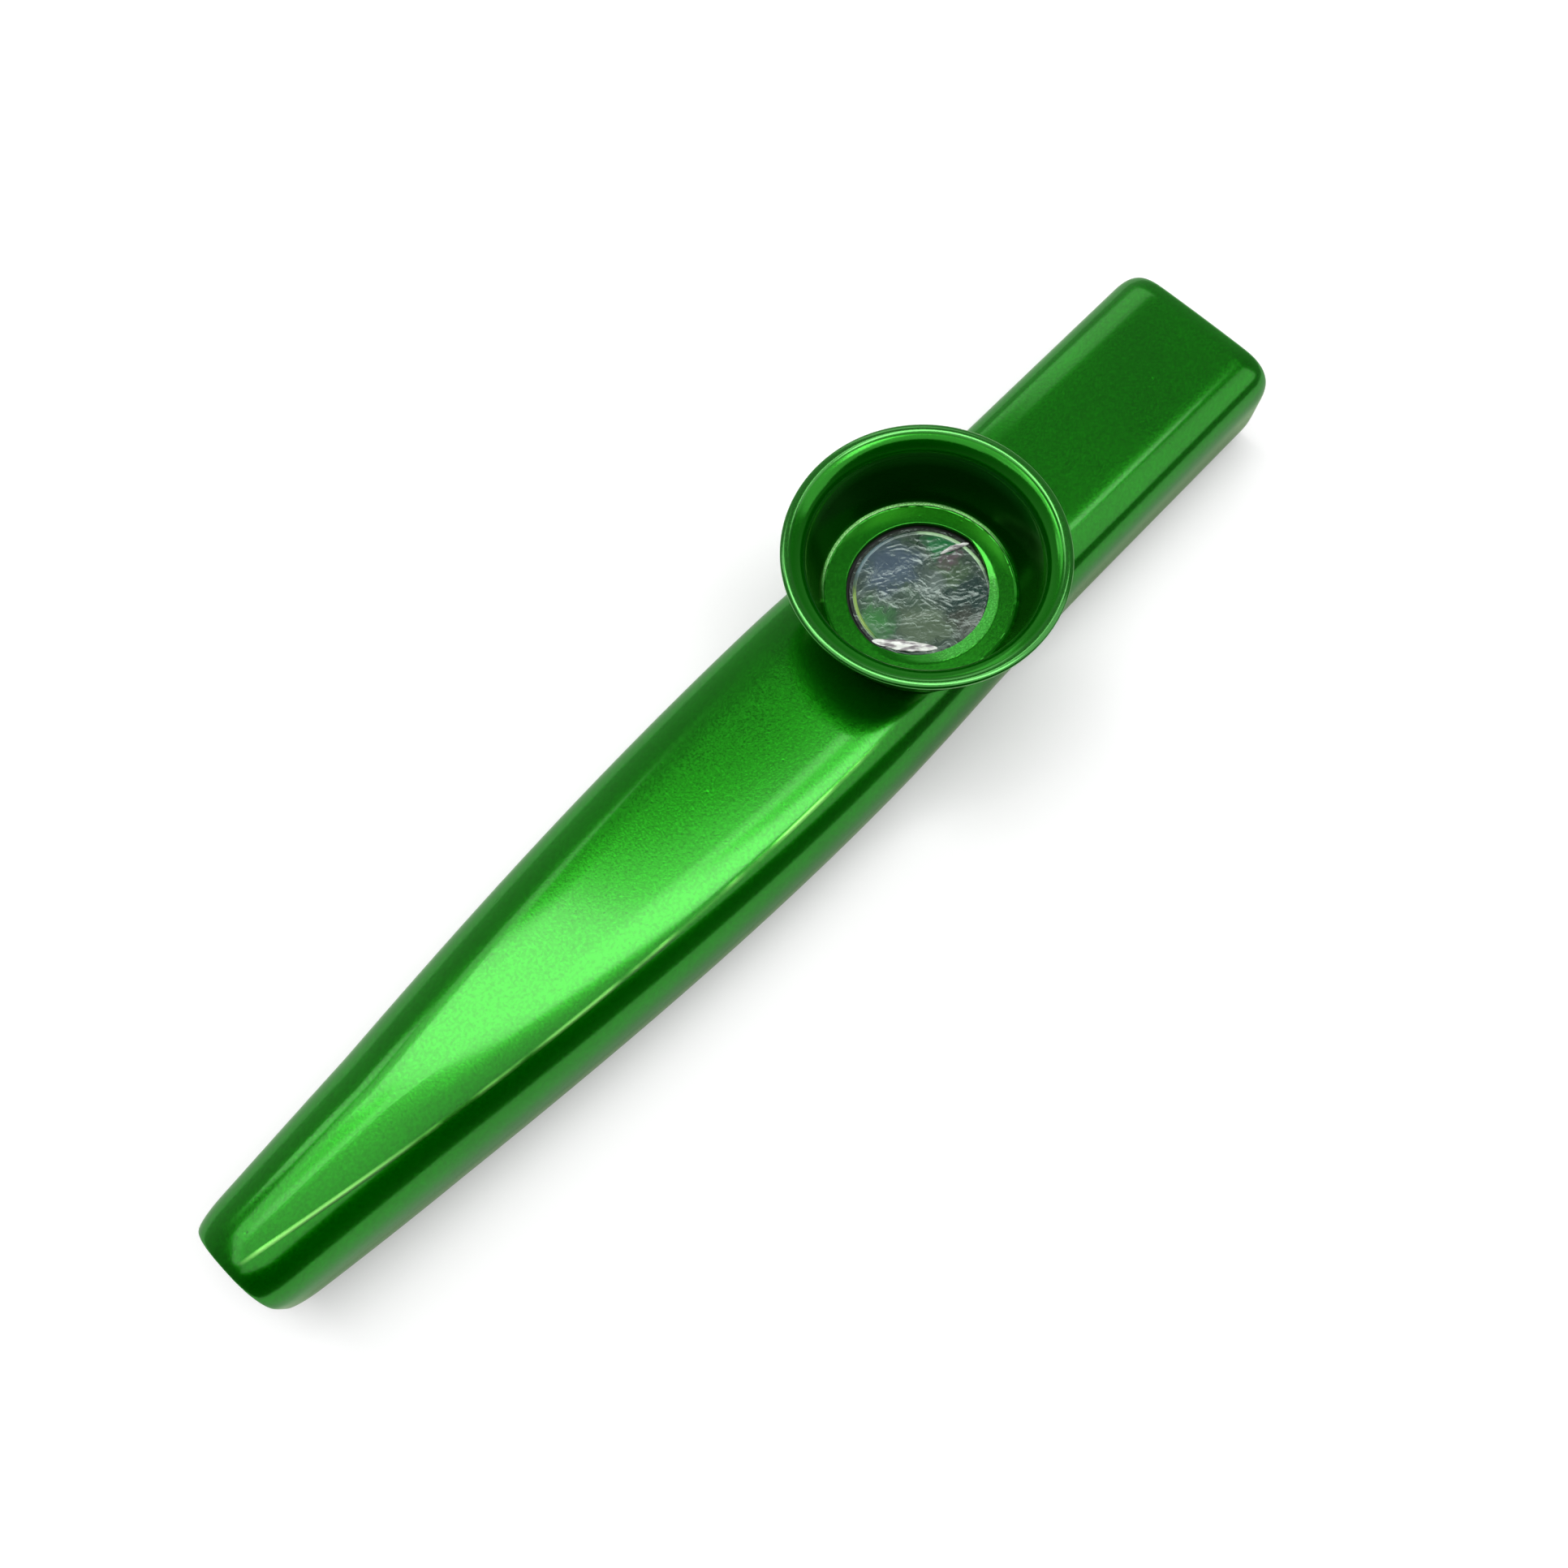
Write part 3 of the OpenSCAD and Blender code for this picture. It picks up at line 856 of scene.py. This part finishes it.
def anodised_horn():
    """Painted darker down in the cup as shade, with painted highlights on the burr round its floor and on the
    rough cut at the hole's edge.
    """
    m = anodised("anodised_horn", GREEN, GREEN_DEEP, 0.17, True)
    out, high = m.out_from(TURRET_X, 0), m.height()
    slope = (CUP_MOUTH_R - CUP_FLOOR_R) / (FLARE_Z - FLOOR_Z)
    wall = CUP_FLOOR_R - slope * FLOOR_Z
    from_wall = m.math("MULTIPLY_ADD", high, -slope, out)
    cup = m.times(m.span(from_wall, wall + 0.25 * MM, wall + 0.5 * MM, 1.0, 0.0),
                  m.span(high, FLOOR_Z + 0.15 * MM, FLOOR_Z + 0.7 * MM),
                  m.span(high, FLARE_Z - 1.2 * MM, FLARE_Z + 0.5 * MM, 1.0, 0.0))
    # Painted shade on the cup's inner wall, which also gets less sheen
    tone = m.mixed(cup, m.tone, GREEN_CUP_SHADE)
    rim = m.band(out, RIM_R - 0.8 * MM, RIM_R, 0.08 * MM)
    m.link(m.math("ADD", m.span(cup, 0, 1, 0.1, 0.0), m.times(rim, 0.3)), m.shader.inputs["Coat Weight"])
    m.link(m.span(cup, 0, 1, 0.8, 0.15), m.shader.inputs["Specular IOR Level"])
    speckle = m.span(m.noise(0.16 * MM, 2, 0.6), 0.42, 0.6)
    topside = m.span(high, SEAT_Z + 0.2 * MM, SEAT_Z + 0.25 * MM)
    # Painted highlight on one side of the real cut at the hole's edge
    side = ACROSS * CUT_HIGHLIGHT_AT[0] + UP * CUT_HIGHLIGHT_AT[1]
    cut = m.times(m.band(out, FLOOR_HOLE_R - BEVEL_REACH, FLOOR_HOLE_R + BEVEL_START * 0.7, 0.15 * MM),
                  m.near((TURRET_X + side.x * MM, side.y * MM, FLOOR_Z), 2.6 * MM, 6.2 * MM), topside)
    tone = m.mixed(m.times(cut, m.span(speckle, 0, 1, 0.5, 1.0)), tone, GREEN_CUT_HIGHLIGHT)
    # Painted highlight on the far side of the real burr round the floor
    side = ACROSS * BURR_HIGHLIGHT_AT[0] + UP * BURR_HIGHLIGHT_AT[1]
    burr = m.times(m.band(out, CUP_FLOOR_R - BEAD_W * 0.55, CUP_FLOOR_R + 0.02 * MM, 0.05 * MM),
                   m.near((TURRET_X + side.x * MM, side.y * MM, FLOOR_Z), 7 * MM, 12 * MM),
                   m.span(high, FLOOR_Z + 0.25 * MM, FLOOR_Z + 0.35 * MM, 1.0, 0.0),
                   topside, m.span(speckle, 0, 1, 0.6, 1.0))
    tone = m.mixed(burr, tone, GREEN_BURR_HIGHLIGHT)
    m.link(tone, m.shader.inputs["Base Color"])
    m.link(m.span(m.math("MAXIMUM", cut, burr), 0, 1, 0.7, 0.15), m.shader.inputs["Metallic"])
    m.link(m.bump(m.times(speckle, cut), 0.05 * MM, 1, m.surface), m.shader.inputs["Normal"])
    return m


def hoop_plastic():
    m = Nodes("hoop_plastic")
    # Near-black: painted shade for the gap round the film's glued edge
    tone = m.mixed(m.noise(1.5 * MM, 3), (0.006, 0.007, 0.006), (0.014, 0.016, 0.014))
    m.link(tone, m.shader.inputs["Base Color"])
    m.link(m.bump(m.noise(0.15 * MM), 0.004 * MM), m.shader.inputs["Normal"])
    m.set(Roughness=0.5, Specular_IOR_Level=0.2)
    return m.material


# Tints of the film over the dark tube, which are painted reflections and shade: place (across, up) and reach
# in mm, and colour
FILM_SHADE_AND_REFLECTIONS = (
    ((-2.6, 2.6), 1.0, 3.8, (0.06, 0.095, 0.14)),
    ((-0.6, -0.3), 0.6, 2.0, (0.045, 0.085, 0.055)),
    ((1.2, 0.9), 0.5, 1.9, (0.1, 0.14, 0.125)),
    ((4.5, -0.4), 1.3, 3.0, (0.006, 0.03, 0.026)),
    ((3.2, 1.9), 0.6, 1.9, (0.045, 0.095, 0.04)),
    ((0.4, -3.2), 1.4, 2.9, (0.085, 0.13, 0.075)),
    ((4.0, -3.0), 0.8, 2.4, (0.035, 0.04, 0.03)),
    ((-4.2, -2.8), 0.4, 2.8, (0.035, 0.2, 0.04)),
    ((2.2, 4.7), 0.3, 1.7, (0.015, 0.17, 0.05)),
    ((3.2, 3.2), 0.1, 1.3, (0.12, 0.08, 0.1)),
)
# Painted highlights and reflections on stretches of the film's glued edge, in the same way
EDGE_HIGHLIGHTS = (
    ((3.6, 4.8), 2.2, 4.6, (0.42, 0.7, 0.36)),
    ((-5.6, -1.6), 1.6, 3.6, (0.28, 0.45, 0.09)),
    ((-4.6, 4.0), 1.6, 3.4, (0.14, 0.22, 0.25)),
)


def on_film(a, b):
    """A place on the film, from the directions across and up in mm."""
    place = ACROSS * a + UP * b
    return TURRET_X + place.x * MM, place.y * MM, HOOP_TOP_Z


def film():
    """Crinkled clear film over the dark tube: grey and silvery, with painted reflections and shade here and
    there, pale crests that are partly painted highlight, painted highlights on its glued edge and painted
    shade past it.
    """
    m = Nodes("membrane_film")
    out = m.out_from(*on_film(SHEET_SHIFT / MM, 0)[:2])
    m.warp(1.7 * MM, 0.8 * MM)
    m.warp(0.5 * MM, 0.35 * MM)
    tone = m.mixed(m.span(m.noise(0.9 * MM, 4, 0.6), 0.35, 0.65), (0.016, 0.036, 0.024), (0.055, 0.09, 0.064))
    # Painted reflections and shade on the film
    for (a, b), full, none, colour in FILM_SHADE_AND_REFLECTIONS:
        tone = m.mixed(m.near(on_film(a, b), full * MM, none * MM), tone, colour)
    folds = m.crinkles(1.5 * MM)
    # Pale crests on the crinkles: partly whitened film, partly painted highlight
    pale = m.times(m.span(folds, 0.66, 0.88), m.span(m.noise(2.2 * MM, 2), 0.38, 0.58),
                   m.near(on_film(0.3, 1.6), 4.2 * MM, 7 * MM))
    tone = m.mixed(m.times(pale, 0.85), tone, (0.46, 0.54, 0.5))
    edge = m.band(out, SHEET_BEAD_R - SHEET_BEAD_W / 2, SHEET_BEAD_R + SHEET_BEAD_W / 2, 0.06 * MM)
    # Painted highlights and reflections on the glued edge
    for (a, b), full, none, colour in EDGE_HIGHLIGHTS:
        tone = m.mixed(m.times(edge, m.near(on_film(a, b), full * MM, none * MM)), tone, colour)
    # Painted shade: the film goes near black past its glued edge, in the gap over the hoop
    tone = m.mixed(m.span(out, SHEET_BEAD_R + 0.1 * MM, SHEET_BEAD_R + 0.2 * MM), tone, (0.006, 0.008, 0.006))
    m.link(tone, m.shader.inputs["Base Color"])
    m.link(m.bump(folds, 0.09 * MM, 0.8, m.bump(m.crinkles(0.55 * MM, 2), 0.03 * MM, 0.8)),
           m.shader.inputs["Normal"])
    m.set(Roughness=0.2, Coat_Weight=0.4, Coat_Roughness=0.08, Specular_IOR_Level=0.8)
    m.shader.inputs["Specular Tint"].default_value = (0.8, 1, 0.88, 1)
    return m.material


def folded_film():
    m = Nodes("folded_film")
    streak = m.span(m.streaks(0.28 * MM, 4), 0.4, 0.58)
    m.link(m.mixed(streak, (0.24, 0.22, 0.23), (0.9, 0.93, 0.87)), m.shader.inputs["Base Color"])
    m.link(m.bump(m.noise(0.2 * MM, 2), 0.01 * MM, 0.5), m.shader.inputs["Normal"])
    m.set(Roughness=0.25, Coat_Weight=0.5, Coat_Roughness=0.1)
    return m.material


# Pieces

def dress(obj, material, body, slot, *nodes):
    obj.data.materials.clear()
    obj.data.materials.append(material)
    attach(obj, body)
    if nodes:
        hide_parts(*nodes)
    return obj


make_camera()
dress(make_tube(), anodised_tube().material, "tube", "anodised_tube", "body_tube")
dress(make_collar(), anodised("anodised_collar", GREEN, GREEN_DEEP, 0.2, True).material, "tube",
      "anodised_collar", "threaded_collar")
dress(make_horn(), anodised_horn().material, "horn", "anodised_horn", "horn")
dress(make_hoop(), hoop_plastic(), "membrane", "hoop_plastic", "membrane_hoop")
dress(make_film(), film(), "membrane", "membrane_film", "membrane_film")
FOLDED = folded_film()
for fold in FOLDS:
    dress(make_fold(*fold), FOLDED, "membrane", "membrane_film")


# Stage and light

FLOOR_HALF = 4
FLOOR_COLOUR = (0.86, 0.86, 0.86)
FLOOR_GLOW = 0.25
# Room light: its strength, and how it grows towards +X, +Y and up
ROOM = 0.345
ROOM_SLOPE = (0.115, 0.245, -0.29)
LIGHT_HEIGHT = 3
# Lamps: name, centre, short side, long side, turn and radiance
SOFTBOXES = (
    ("key", (0.144, 0.075), 0.186, 1.036, 14.9, 6.6),
    ("cross", (0.231, 0.169), 0.079, 0.977, 64.8, 4.4),
    ("fill", (0.696, -0.868), 0.893, 3.054, 43.4, 1.28),
    ("skirt", (-0.177, 0.44), 0.301, 0.998, -44.3, 2.0),
    ("far_strip", (1.115, 1.455), 2.109, 0.337, 72.1, 1.29),
    ("tail_light", (-0.152, 0.991), 0.19, 0.341, 21, 3.2),
)


def make_floor():
    mesh = bpy.data.meshes.new("floor")
    h = FLOOR_HALF
    mesh.from_pydata([(-h, -h, 0), (h, -h, 0), (h, h, 0), (-h, h, 0)], [], [(0, 1, 2, 3)])
    floor = bpy.data.objects.new("floor", mesh)
    bpy.context.scene.collection.objects.link(floor)
    m = Nodes("floor")
    m.set(Roughness=0.9)
    m.shader.inputs["Base Color"].default_value = (*FLOOR_COLOUR, 1)
    m.shader.inputs["Emission Color"].default_value = (1, 1, 1, 1)
    rays = m.add("ShaderNodeLightPath").outputs
    seen = m.math("MAXIMUM", rays["Is Camera Ray"],
                  m.math("MAXIMUM", rays["Is Glossy Ray"], rays["Is Transmission Ray"]))
    m.link(m.times(seen, FLOOR_GLOW), m.shader.inputs["Emission Strength"])
    floor.data.materials.append(m.material)


def softbox(name, centre, across, lengthwise, turn, radiance):
    """A level lamp far above the object. Its centre and its two sides are shares of its height,
    and its short side is turned from X in degrees."""
    data = bpy.data.lights.new(name, "AREA")
    data.shape = "RECTANGLE"
    data.size = across * LIGHT_HEIGHT
    data.size_y = lengthwise * LIGHT_HEIGHT
    data.energy = radiance * math.pi * data.size * data.size_y
    lamp = bpy.data.objects.new(name, data)
    bpy.context.scene.collection.objects.link(lamp)
    middle = Vector((*centre, 1)) * LIGHT_HEIGHT
    lamp.matrix_world = Matrix.Translation(middle) @ Matrix.Rotation(math.radians(turn), 4, "Z")
    lamp.visible_camera = False


def make_world():
    """A dim room, a little lighter on one side."""
    world = bpy.data.worlds.new("world")
    bpy.context.scene.world = world
    world.use_nodes = True
    tree = world.node_tree
    direction = tree.nodes.new("ShaderNodeTexCoord").outputs["Generated"]
    slope = tree.nodes.new("ShaderNodeVectorMath")
    slope.operation = "DOT_PRODUCT"
    tree.links.new(direction, slope.inputs[0])
    slope.inputs[1].default_value = ROOM_SLOPE
    level = tree.nodes.new("ShaderNodeMath")
    level.operation = "ADD"
    level.inputs[1].default_value = ROOM
    tree.links.new(slope.outputs["Value"], level.inputs[0])
    tree.links.new(level.outputs["Value"], tree.nodes["Background"].inputs["Color"])


make_floor()
make_world()
for box in SOFTBOXES:
    softbox(*box)
bpy.context.scene.view_settings.view_transform = "Standard"
